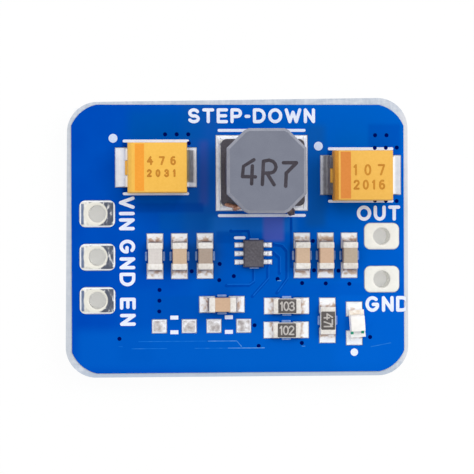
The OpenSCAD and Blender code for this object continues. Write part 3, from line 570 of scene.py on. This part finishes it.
# Centre lines of letters in a unit square: (width for a height of 1, strokes without sharp turns)
GLYPHS = {
    "V": (0.78, [[(0, 1), (0.5, 0)], [(0.5, 0), (1, 1)]]),
    "I": (0.2, [[(0.5, 0), (0.5, 1)]]),
    "N": (0.76, [[(0, 0), (0, 1)], [(0, 1), (1, 0)], [(1, 0), (1, 1)]]),
    "E": (0.76, [[(0, 0), (0, 1)], [(0, 1), (1, 1)], [(0, 0.5), (0.9, 0.5)], [(0, 0), (1, 0)]]),
    "T": (0.8, [[(0, 1), (1, 1)], [(0.5, 1), (0.5, 0)]]),
    "U": (0.8, [[(0, 1)] + arc(0.5, 0.42, 0.5, 0.42, 180, 360) + [(1, 1)]]),
    "D": (0.86, [[(0, 0), (0, 1)], [(0, 1)] + arc(0.42, 0.5, 0.58, 0.5, 90, -90) + [(0, 0)]]),
    "O": (0.95, [arc(0.5, 0.5, 0.5, 0.5, 0, 360, 36)]),
    "G": (0.9, [arc(0.5, 0.5, 0.5, 0.5, 48, 330, 24), [(0.96, 0.32), (0.96, 0.47)],
                [(0.96, 0.47), (0.58, 0.47)]]),
    "S": (0.8, [arc(0.5, 0.74, 0.46, 0.26, 25, 270) + arc(0.5, 0.25, 0.5, 0.25, 82, -155)]),
    "P": (0.78, [[(0, 0), (0, 1)], [(0, 1)] + arc(0.6, 0.72, 0.4, 0.28, 90, -90) + [(0, 0.44)]]),
    "W": (1.12, [[(0, 1), (0.26, 0)], [(0.26, 0), (0.5, 0.8)], [(0.5, 0.8), (0.74, 0)],
                 [(0.74, 0), (1, 1)]]),
    "-": (0.4, [[(0, 0.45), (1, 0.45)]]),
    "0": (0.62, [arc(0.5, 0.5, 0.5, 0.5, 0, 360, 32)]),
    "1": (0.4, [[(0, 0.8), (0.6, 1)], [(0.6, 1), (0.6, 0)]]),
    "2": (0.62, [arc(0.5, 0.72, 0.5, 0.28, 165, -20) + [(0, 0)], [(0, 0), (1, 0)]]),
    "3": (0.62, [arc(0.48, 0.74, 0.46, 0.26, 160, -90), arc(0.48, 0.25, 0.52, 0.27, 90, -160)]),
    "4": (0.72, [[(0.62, 1), (0, 0.36)], [(0, 0.36), (1, 0.36)], [(0.72, 0.62), (0.72, 0)]]),
    "6": (0.62, [arc(0.5, 0.3, 0.5, 0.3, 0, 360, 28), [(0, 0.35)] + arc(0.6, 0.6, 0.6, 0.4, 180, 70)]),
    "7": (0.66, [[(0, 1), (1, 1)], [(1, 1), (0.42, 0)]]),
}


def stroke_outline(path, width):
    """Outline of a round-ended stroke of this width along a smooth path."""
    half = width / 2
    points = [Vector(p) for p in path]
    ways = [(b - a).normalized() for a, b in zip(points, points[1:])]
    turns = [ways[0]] + [(a + b).normalized() for a, b in zip(ways, ways[1:])] + [ways[-1]]
    left = [p + Vector((-t.y, t.x)) * half for p, t in zip(points, turns)]
    right = [p + Vector((t.y, -t.x)) * half for p, t in zip(points, turns)]
    cap = 7
    heading = math.atan2(ways[-1].y, ways[-1].x)
    front = [points[-1] + Vector((math.cos(a), math.sin(a))) * half
             for a in (heading + math.pi * (0.5 - i / cap) for i in range(1, cap))]
    heading = math.atan2(ways[0].y, ways[0].x)
    back = [points[0] + Vector((math.cos(a), math.sin(a))) * half
            for a in (heading - math.pi * (0.5 + i / cap) for i in range(1, cap))]
    return left + front + right[::-1] + back


def lettering(name, text, height, stroke, at, z, length, slot="legend_ink", turn=0.0, material=None,
              thickness=0.02, centred=True):
    """Raised ink letters on a level face, from stroked centre lines, spread to a length.

    at is the middle of the word, or its start where it isn't centred."""
    widths = [max(GLYPHS[character][0] * height, stroke) for character in text]
    gap = (length - sum(widths)) / (len(text) - 1)
    shift = -length / 2 if centred else 0.0
    spin = Matrix.Rotation(math.radians(turn), 2)
    paths = []
    for character, width in zip(text, widths):
        for path in GLYPHS[character][1]:
            inner = (width - stroke, height - stroke)
            paths.append([(shift + stroke / 2 + x * inner[0], (y - 0.5) * inner[1]) for x, y in path])
        shift += width + gap
    return add_strokes(name, paths, stroke, lambda p: spin @ p + Vector(at), z, thickness, slot, material)


def add_strokes(name, paths, width, place, z, thickness, slot, material=None):
    """Raised ink strokes along paths in millimetres; a path that ends where it starts makes a ring."""
    vertices, faces = [], []
    for number, path in enumerate(paths):
        placed = [place(Vector(p)) for p in path]
        # each stroke tops out a hair above the last, so that no two faces share a plane
        top = z + thickness + 0.0003 * number
        if (placed[0] - placed[-1]).length < 1e-6:
            add_ring(vertices, faces, placed[:-1], width, z, top)
        else:
            add_prism(vertices, faces, stroke_outline(placed, width), z, top)
    return add_piece(name, mesh_from(name, vertices, faces), slot, material)


def add_ring(vertices, faces, path, width, low, high):
    """Adds a stroke of this width round a closed path."""
    count, start = len(path), len(vertices)
    for i, point in enumerate(path):
        along = (path[(i + 1) % count] - path[i - 1]).normalized()
        side = Vector((along.y, -along.x)) * width / 2
        for p in (point + side, point - side):
            vertices += [(p.x, p.y, low), (p.x, p.y, high)]
    for i in range(count):
        a = start + 4 * i
        b = start + 4 * ((i + 1) % count)
        faces += [[a, b, b + 1, a + 1], [a + 1, b + 1, b + 3, a + 3], [a + 3, b + 3, b + 2, a + 2]]


def add_prism(vertices, faces, outline, low, high):
    """Adds an upright prism over an outline to lists of corners and faces."""
    start, count = len(vertices), len(outline)
    vertices += [(p[0], p[1], low) for p in outline] + [(p[0], p[1], high) for p in outline]
    faces.append([start + count + i for i in range(count)][::-1])
    faces.append([start + i for i in range(count)])
    faces += strip(start, start + count, count)


# ------------------------------------------------------- camera, light

FRAME_WIDTH = 27.88        # of the picture, in the plane of the board's upper face
CAMERA_HEIGHT = 110.0      # over that plane
CAMERA_ROLL = -0.22        # degrees
SENSOR = 36
camera_over = (-6.88, 0.24)
aim = Vector((-0.035, 0.011, BOARD_TOP))


def add_camera():
    data = bpy.data.cameras.new("camera")
    camera = new_object("camera", data)
    place = Vector((*camera_over, BOARD_TOP + CAMERA_HEIGHT))
    sight = aim - place
    data.sensor_width = SENSOR
    data.lens = SENSOR * sight.length / FRAME_WIDTH
    data.clip_start = 0.005
    data.clip_end = 10
    back = -sight.normalized()
    right = Vector((0, 1, 0)).cross(back).normalized()
    level = Matrix((right, back.cross(right), back)).transposed().to_4x4()
    roll = Matrix.Rotation(math.radians(CAMERA_ROLL), 4, "Z")
    camera.matrix_world = Matrix.Translation(place * MM) @ level @ roll
    bpy.context.scene.camera = camera


def add_world():
    """Soft studio: bright at the horizon, dimmer higher up, a little brighter overhead and at +X."""
    world = bpy.data.worlds.new("studio")
    world.use_nodes = True
    bpy.context.scene.world = world
    studio = Nodes(world.node_tree)
    way = studio.parts(studio.add("TexCoord").outputs["Generated"])
    levels = ((0.0, 1.0), (0.3, 0.95), (0.55, 0.74), (0.8, 0.64), (0.94, 0.74), (1.0, 0.78))
    sky = studio.ramp(way["Z"], *[(height, grey(level)) for height, level in levels])
    lit = studio.add("VectorMath", operation="SCALE")
    studio.feed(sky, lit.inputs["Vector"])
    studio.feed(studio.fit(way["X"], -1, 1, 0.88, 1.04), lit.inputs["Scale"])
    seen = studio.mix(studio.backdrop_rays(), lit.outputs["Vector"], grey(1))
    studio.feed(seen, studio.tree.nodes["Background"].inputs["Color"])


def add_softbox(name, place, side, power):
    """Square area light that faces the board, its place and side in millimetres."""
    data = bpy.data.lights.new(name, "AREA")
    data.size = side * MM
    data.energy = power
    light = new_object(name, data)
    light.location = Vector(place) * MM
    light.rotation_euler = (-Vector(place)).to_track_quat("-Z", "Y").to_euler()


def add_floor():
    """White table that keeps the object's shadow and stays white to the camera."""
    reach = 600
    corners = [(x * reach, y * reach, -0.02) for x, y in ((-1, -1), (1, -1), (1, 1), (-1, 1))]
    mesh = mesh_from("floor", corners, [(0, 1, 2, 3)])
    floor = new_object("floor", mesh)
    finish = Finish("floor", 0.9, 0.0, 0.0)
    finish.colour(finish.clouds(40, (246, 246, 246), (252, 252, 252)))
    # the share of plain white is small under the board, so that the pin holes stay grey
    axes = finish.parts(finish.place)
    beyond = [finish.maths("GREATER_THAN", finish.maths("ABSOLUTE", axes[axis]), half * MM)
              for axis, half in (("X", 9.6), ("Y", 7.7))]
    share = finish.fit(finish.maths("MAXIMUM", *beyond), 0.0, 1.0, 0.26, 0.94)
    blend = finish.add("MixShader")
    finish.feed(finish.maths("MULTIPLY", finish.backdrop_rays(), share), blend.inputs["Fac"])
    finish.feed(finish.shader.outputs["BSDF"], blend.inputs[1])
    finish.feed(finish.add("Emission").outputs["Emission"], blend.inputs[2])
    finish.feed(blend.outputs["Shader"], finish.tree.nodes["Material Output"].inputs["Surface"])
    mesh.materials.append(finish.material)


add_camera()
add_world()
add_softbox("key", (170, 120, 260), 200, 0.4)
add_softbox("fill", (-140, 160, 240), 200, 0.2)
add_floor()
bpy.context.scene.view_settings.view_transform = "Standard"


# ----------------------------------------------------------- the board

for name, part in nodes.items():
    part.data.materials.clear()
    part.data.materials.append(finishes[slot_of[name]])
nodes["solder_mask_bottom"].data.materials[0] = solder_mask("solder_mask_below", ())

# faces inside the dimples over covered vias, too deep to catch light
DIMPLE_DEPTH = 0.012
paint_faces(nodes["solder_mask_top"].data, looks["via_shade"],
            lambda centre, normal: mask.low.z + DIMPLE_DEPTH < centre.z < BOARD_TOP - DIMPLE_DEPTH)


def pad_outline(size, corner, count):
    """Points of a rounded rectangle, one for each of count equal angles about its centre."""
    half = Vector((size.x / 2, size.y / 2))
    inner = Vector((half.x - corner, half.y - corner))
    points = []
    for way in circle(1, count):
        point = way * min(half.x / max(abs(way.x), 1e-9), half.y / max(abs(way.y), 1e-9))
        if abs(point.x) > inner.x and abs(point.y) > inner.y:
            middle = Vector((math.copysign(inner.x, way.x), math.copysign(inner.y, way.y)))
            along = middle.dot(way)
            point = way * (along + math.sqrt(along * along - middle.length_squared + corner * corner))
        points.append(point)
    return points


HOLE_R = 0.51
CROWN = 0.03               # height of the swell
PAD_EDGE = 0.05            # how far a pad's edge goes down into the mask
BARREL_LIP = 0.06          # depth of the barrel's first ring below the pad


def tin_pad(name, corner, waves, material):
    """Plated hole and pads with a tin surface that swells between the hole and the pad's edge."""
    box = Box(name)
    centre = box.centre.xy
    count, rings = 96, 16
    hole = circle(HOLE_R, count)
    outline = pad_outline(box.size, corner, count)
    vertices, faces = [], []
    for ring in range(rings + 1):
        share = ring / rings
        arch = math.sin(math.pi * share)
        for inner, outer in zip(hole, outline):
            flat = centre + inner.lerp(outer, share)
            ripple = noise.noise(Vector((flat.x * 2.6, flat.y * 2.6, 3.0))) * waves * arch
            vertices.append((*flat, BOARD_TOP + arch ** 0.55 * CROWN + ripple))
    for ring in range(rings):
        faces += strip(ring * count, (ring + 1) * count, count)
    faces += strip(rings * count, len(vertices), count)
    vertices += [(*(centre + p), BOARD_TOP - PAD_EDGE) for p in outline]
    # down the barrel, then out and up round the lower pad, which is flush with the lower mask
    previous = 0
    levels = [(hole, z) for z in (BOARD_TOP - BARREL_LIP, BOARD_TOP / 2, BARREL_LIP, 0.0)]
    for points, z in levels + [(outline, 0.0), (outline, PAD_EDGE)]:
        faces += flipped(strip(previous, len(vertices), count))
        previous = len(vertices)
        vertices += [(*(centre + p), z) for p in points]
    piece = add_piece(name + "_tinned", mesh_from(name + "_tinned", vertices, faces), "tin", material)
    # the barrel walls get a brighter tin than the pads, painted light against the shade down the hole
    paint_faces(piece.data, looks["brightened_barrel_tin"],
                lambda place, normal: abs(normal.z) < 0.5 and (place.xy - centre).length < HOLE_R + 0.02)
    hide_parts(name)


def reflowed_pad(name, centre, seed):
    """Hand-tinned pad: white rim, cream collar round the hole, painted dark streaky reflections between
    them.
    """
    finish = Finish(name, 0.4, 0.1, 0.4)
    x, y = centre
    streaks = finish.grain(0.2, place=finish.stretch(1.0, 0.5, 1.0))
    light = finish.ramp(streaks, (0.3, (196, 194, 186)), (0.65, (232, 230, 224)))
    dark_reflection = finish.ramp(streaks, (0.46, (72, 78, 94)), (0.58, (106, 110, 122)), (0.68, (214, 214, 214)))
    bluish_reflection = finish.ramp(streaks, (0.3, (62, 88, 130)), (0.7, (112, 126, 152)))
    # a painted bluish reflection in a strip at the left side, then painted dark reflections to the right,
    # top and bottom of the hole
    tone = finish.mix(finish.panel(x - 0.87, y - 0.02, 0.09, 0.6, 0.035, 0.95), light, bluish_reflection)
    for dx, dy, rx, ry in ((0.66, 0.1, 0.4, 0.72), (0.2, 0.66, 0.7, 0.1), (0.42, -0.6, 0.5, 0.12)):
        tone = finish.mix(finish.spot(x + dx + 0.03 * seed, y + dy, rx, ry, 0.07), tone, dark_reflection)
    tone = finish.mix(finish.spot(x - 0.1, y + 0.01, 0.7, 0.7, 0.05), tone, (224, 222, 212))
    inside = finish.panel(x, y - 0.01, 0.95, 0.69, 0.03)
    finish.colour(finish.mix(inside, (238, 240, 244), tone))
    return finish.material


for seed, pin in enumerate(input_pins):
    tin_pad(pin, 0.28, 0.02, reflowed_pad("reflowed_" + pin, Box(pin).centre.xy, seed))
for pin in output_pins:
    tin_pad(pin, 0.34, 0.0, looks["pale_tin"])


def spare_pads():
    """Four solder pillows whose sides draw in between their corners."""
    steps = 18
    draw = 0.09
    row_length = steps + 1
    vertices, faces = [], []
    for number, (low, high) in enumerate(split_by_place("spare_pad_solder")):
        centre = (low + high) / 2
        half = (high - low) / 2
        start = len(vertices)
        for row in range(row_length):
            for column in range(row_length):
                u = column / steps * 2 - 1
                v = row / steps * 2 - 1
                x = u * (1 - draw * (1 - v * v)) * half.x
                y = v * (1 - draw * (1 - u * u)) * half.y
                swell = (1 - u ** 4) * (1 - v ** 4)
                dent = noise.noise(Vector((x * 4 + number * 5, y * 4, 0))) * 0.03
                rise = 0.085 * swell ** 0.5 + dent * swell
                vertices.append((centre.x + x, centre.y + y, BOARD_TOP + max(rise, 0.0)))
        for row in range(steps):
            for column in range(steps):
                corner = start + row * row_length + column
                faces.append([corner, corner + 1, corner + 1 + row_length, corner + row_length])
    piece = add_piece("spare_pad_pillows", mesh_from("spare_pad_pillows", vertices, faces), "solder",
                      pillow_solder())
    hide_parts("spare_pad_solder")


def split_by_place(node):
    """Boxes in millimetres of the separate solids in a node, from left to right."""
    islands = bmesh.new()
    islands.from_mesh(nodes[node].data)
    bmesh.ops.remove_doubles(islands, verts=islands.verts, dist=WELD * MM)
    left = set(islands.verts)
    boxes = []
    while left:
        front = [left.pop()]
        found = list(front)
        while front:
            vertex = front.pop()
            for edge in vertex.link_edges:
                other = edge.other_vert(vertex)
                if other in left:
                    left.remove(other)
                    found.append(other)
                    front.append(other)
        corners = [v.co / MM for v in found]
        low = Vector([min(c[i] for c in corners) for i in range(3)])
        high = Vector([max(c[i] for c in corners) for i in range(3)])
        boxes.append((low, high))
    islands.free()
    return sorted(boxes, key=lambda box: (round(box[0].x, 2), round(box[0].y, 2)))


spare_pads()

# print painted dim and bluish beside the small parts, as painted shade from them, and thin at the two
# polarity dots
PRINT_REACH = 0.2          # of faint print beyond a part
REGULATOR_REACH = 0.45     # of faint print to both sides of the regulator's middle
DOT_R = 0.33
regulator_box = Box("regulator_body")
chips = [Box(name) for name, slot in slot_of.items() if slot in ("ceramic", "alumina")]
polarity_dots = (Vector((-7.25, 5.8)), Vector((4.8, 5.36)))


def beside(centre, box, reach_x):
    return (abs(centre.x - box.centre.x) < reach_x
            and abs(centre.y - box.centre.y) < box.size.y / 2 + PRINT_REACH)


paint_faces(nodes["legend"].data, looks["shaded_ink"],
            lambda centre, normal: beside(centre, regulator_box, REGULATOR_REACH)
            or any(beside(centre, chip, chip.size.x / 2 + PRINT_REACH) for chip in chips))
paint_faces(nodes["legend"].data, looks["thin_ink"],
            lambda centre, normal: any((centre.xy - dot).length < DOT_R for dot in polarity_dots))

# Copper tracks that show through the lacquer, with painted highlights along their edges, and painted glints
# where other track edges catch the light
TRACKS = [
    [(2.12, -0.44), (2.6, -0.52), (2.89, -0.87), (2.89, -2.48), (2.3, -3.3)],
    [(2.12, -0.95), (2.45, -1.25), (2.45, -2.15)],
    [(1.87, -1.61), (1.76, -1.85), (1.76, -2.48), (0.85, -3.5)],
    [(0.92, -1.75), (0.92, -2.64), (0.63, -2.85), (-0.68, -2.85)],
    [(3.18, 1.16), (3.18, -1.75)],
    [(-0.4, 0.36), (0.63, 0.36), (0.73, -0.1)],
]
DIM_GLINTS = [
    [(-5.83, -6.1), (-1.8, -6.1)], [(-6.24, -6.52), (-4.2, -6.52)], [(-2.54, -6.52), (-0.6, -6.52)],
    [(7.87, -6.5), (9.05, -6.28)], [(-7.0, -6.38), (-6.8, -6.38)],
]
LIT_GLINTS = [
    [(-1.8, -6.1), (-0.07, -6.1), (0.2, -6.42)], [(-0.6, -6.52), (1.55, -6.52)],
    [(2.36, -2.57), (2.54, -2.57)], [(3.78, -6.44), (3.96, -6.44)],
]
for name, paths, width, shift, thickness, look in (
        ("track_shades", TRACKS, 0.19, 0, 0.001, "dark_track"),
        ("track_edges", TRACKS, 0.05, 0.08, 0.002, "track_highlight"),
        ("scratches_dim", DIM_GLINTS, 0.05, 0, 0.002, "glint_dim"),
        ("scratches_lit", LIT_GLINTS, 0.045, 0, 0.002, "glint_lit")):
    add_strokes(name, paths, width, lambda p: p + Vector((shift, shift)), BOARD_TOP, thickness,
                "solder_mask", looks[look])


# ---------------------------------------------------------- components

ceramic_tones = {
    "input_ceramic_1": (208, 202, 198),
    "input_ceramic_2": (198, 172, 146),
    "input_ceramic_3": (167, 150, 137),
    "output_ceramic_1": (204, 176, 150),
    "output_ceramic_2": (204, 172, 146),
    "output_ceramic_3": (180, 164, 146),
    "bootstrap_ceramic": (200, 168, 140),
}
for name, tone in ceramic_tones.items():
    darker, lighter = [tuple(value + step for value in tone) for step in (-8, 8)]
    nodes[name].data.materials[0] = speckled(name + "_tan", tone, darker, lighter, 0.12, 0.5, 0.25)
nodes["chip_solder"].data.materials[0] = fillet_solder_painted_light("chip_fillets", 0.57)

# the tantalum capacitors, which settled in their solder a little off their places
INPUT_SLIP = 0.06
OUTPUT_SLIP = -0.03
# the tantalum leads' painted light: the darker bands are painted shade and reflections, the whitest bands
# painted highlights
lead_light_bands = {
    "input_tantalum_anode": light_banded(
        "input_anode", (-7.15, (222, 230, 246)), (-7.03, (240, 240, 246)), (-6.92, (252, 251, 251)),
        (-6.68, (252, 251, 250)), (-6.6, (216, 214, 216)), (-6.54, (240, 236, 232)),
        (-6.4, (244, 238, 226))),
    "input_tantalum_cathode": light_banded(
        "input_cathode", (-3.0, (120, 106, 66)), (-2.86, (112, 104, 82)), (-2.76, (124, 122, 118)),
        (-2.62, (118, 116, 120)), (-2.56, (200, 198, 198)), (-2.47, (240, 240, 242)),
        (-2.4, (222, 228, 242)), ends=(4.16, 0.95)),
    "output_tantalum_anode": light_banded(
        "output_anode", (4.93, (214, 219, 230)), (5.02, (198, 200, 208)), (5.1, (122, 122, 130)),
        (5.2, (104, 102, 108)), (5.27, (150, 148, 150)), (5.33, (92, 86, 90)), (5.5, (84, 78, 82))),
    "output_tantalum_cathode": light_banded(
        "output_cathode", (9.0, (252, 250, 250)), (9.26, (252, 252, 252)), (9.36, (214, 216, 222)),
        (9.5, (202, 206, 214)), (9.66, (214, 220, 232))),
}
for side, slip in (("input", INPUT_SLIP), ("output", OUTPUT_SLIP)):
    body = soften(side + "_tantalum_body", 0.05, 3, slip)
    if side == "output":
        body.data.materials[0] = looks["brown_mould"]
        # the case's faces towards -X are painted a darker orange: painted shade on the side away from the
        # key light
        paint_faces(body.data, looks["shaded_side_mould"], lambda centre, normal: normal.x < -0.4)
    for part in ("_tantalum_anode", "_tantalum_cathode"):
        lead = soften(side + part, 0.02, 2, slip)
        lead.data.materials[0] = lead_light_bands[side + part]
# polarity bands, from start to end along X
for side, start, end, ink in (("input", -6.035, -5.504, None), ("output", 5.89, 6.49, looks["brown_band"])):
    box = Box(side + "_tantalum_band")
    margin = 0.05
    print_piece = plain_slab(side + "_band_print", "band_ink", (start, end),
                             (box.low.y + margin, box.high.y - margin), (box.low.z, box.low.z + 0.004), ink)
    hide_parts(side + "_tantalum_band")

fillets = soften("tantalum_solder", 0.03)
# the fillets by each lead take that lead's painted light bands
for name, look in lead_light_bands.items():
    lead = Box(name)
    paint_faces(fillets.data, look, lambda centre, normal, at=lead.centre.x: abs(centre.x - at) < 1.0)
# the input capacitor's fillets stretch with its slip, from their outer ends to the leads
LEFT_END = -7.15
RIGHT_END = -2.42
FILLET_RUN = 0.49
for vertex in fillets.data.vertices:
    place = vertex.co.x / MM
    inward = max(min(place - LEFT_END, RIGHT_END - place), 0.0)
    vertex.co.x += INPUT_SLIP * min(inward / FILLET_RUN, 1.0) * MM
for name in nodes:
    if slot_of[name] == "chip_terminal" and name.endswith("_terminals"):
        soften(name, 0.015)
for resistor in resistors:
    soften(resistor + "_overcoat", 0.02)
for name, radius, segments in (("regulator_body", 0.03, 2), ("regulator_leads", 0.03, 2),
                               ("led_base", 0.02, 2), ("led_lens", 0.05, 3)):
    soften(name, radius, segments)

# the inductor: dark resin on its foot, which also stands in for the shade under the top flange; the flange's
# ground edges painted lighter, partly a painted highlight; and two wire ends
flange_top = inductor.high.z
flange_edge = flange_top - 0.2
foot_level = BOARD_TOP + 0.98
core = nodes["inductor_core"].data
paint_faces(core, finishes["magnetic_resin"],
            lambda centre, normal: centre.z < foot_level and normal.z > 0.9)
paint_faces(core, looks["ferrite_edge"],
            lambda centre, normal: centre.z > flange_edge and 0.3 < normal.z < 0.95)
wire_end("wire_finish", [(2.66, 1.86, BOARD_TOP + 0.8), (2.96, 1.68, BOARD_TOP + 0.78),
                         (3.16, 1.44, BOARD_TOP + 0.5)], 0.25, looks["dark_wire_with_highlight"])
wire_end("wire_start", [(-0.72, 1.9, BOARD_TOP + 0.95), (-0.45, 1.84, BOARD_TOP + 0.97),
                        (-0.1, 1.78, BOARD_TOP + 0.95)], 0.11, finishes["copper_wire"])

# two green marks at the LED's lower end
led_top = max(Box("led_lens").high.z, Box("led_terminals").high.z)
mark_half = 0.08
for number, (x, y) in enumerate(((6.68, -5.65), (7.3, -5.6))):
    plain_slab("led_mark_" + str(number), "led_base", (x - mark_half, x + mark_half),
               (y - mark_half, y + mark_half), (led_top - 0.1, led_top + 0.002), looks["led_mark"])


# ------------------------------------------------------------ markings

pad_x = Box(input_pins[0]).centre.x
for word, across, start, length in (("VIN", 1.73, 2.41, 1.98), ("GND", 1.755, -0.12, 2.73),
                                    ("EN", 1.77, -3.52, 1.65)):
    lettering("label_" + word.lower(), word, 0.925, 0.2, (pad_x + across, start), BOARD_TOP, length,
              turn=-90, centred=False)
lettering("label_out", "OUT", 0.9, 0.2, (8.35, 1.39), BOARD_TOP, 2.58)
output_gnd = lettering("label_output_gnd", "GND", 0.93, 0.2, (8.86, -3.98), BOARD_TOP, 2.62).data
# the last letter is cut where the mask ends
MASK_END = 9.96
rim_cut = bmesh.new()
rim_cut.from_mesh(output_gnd)
bmesh.ops.bisect_plane(rim_cut, geom=[*rim_cut.verts, *rim_cut.edges, *rim_cut.faces],
                       plane_co=(MASK_END * MM, 0, 0), plane_no=(1, 0, 0), clear_outer=True)
rim_cut.to_mesh(output_gnd)
rim_cut.free()
lettering("title", "STEP-DOWN", 0.88, 0.19, (0.85, 7.14), BOARD_TOP, 7.5)

# 4R7 on the inductor, a little askew
VALUE_STRETCH = Vector((0.955, 0.94))
VALUE_SHIFT = Vector((-0.06, -0.02))
VALUE_STROKES = [
    [(-0.72, 0.68), (-1.34, 0.29), (-1.4, -0.33)], [(-1.4, -0.33), (-0.63, -0.35)],
    [(-0.81, 0.31), (-0.86, -0.77)],
    [(-0.15, 0.55), (-0.22, -0.81)],
    [(-0.15, 0.59), (0.18, 0.66), (0.42, 0.58), (0.55, 0.42), (0.6, 0.24), (0.55, 0.07), (0.44, -0.06),
     (0.29, -0.11), (-0.18, -0.13)],
    [(0.07, -0.15), (0.48, -0.83)],
    [(1.04, 0.5), (1.82, 0.5)], [(1.8, 0.46), (1.23, -0.11)], [(1.21, -0.11), (1.17, -0.92)],
]
add_strokes("inductance", VALUE_STROKES, 0.2, lambda p: p * VALUE_STRETCH + VALUE_SHIFT + inductor.centre.xy,
            flange_top, 0.002, "regulator_mould", looks["dark_ink"])

# plain numbers on the tantalum capacitors and on the resistors
for side, across, length, lines in (("input", 0.35, 1.68, (("476", 0.38, 0.52), ("2031", -0.34, 0.46))),
                                    ("output", 0.33, 1.85, (("107", 0.3, 0.66), ("2016", -0.56, 0.58)))):
    body = Box(side + "_tantalum_body")
    for text, line, height in lines:
        lettering("mark_" + side + "_" + text, text, height, 0.115, body.centre.xy + Vector((across, line)),
                  body.high.z, length, "band_ink", material=looks["laser_mark"], thickness=0.006)
for name, code in zip(resistors, ("103", "102", "471")):
    coat = Box(name + "_overcoat")
    lettering("code_" + name, code, 0.56, 0.085, coat.centre.xy, coat.high.z, 0.88,
              turn=-90 if coat.size.y > coat.size.x else 0, material=looks["grey_mark"], thickness=0.008)
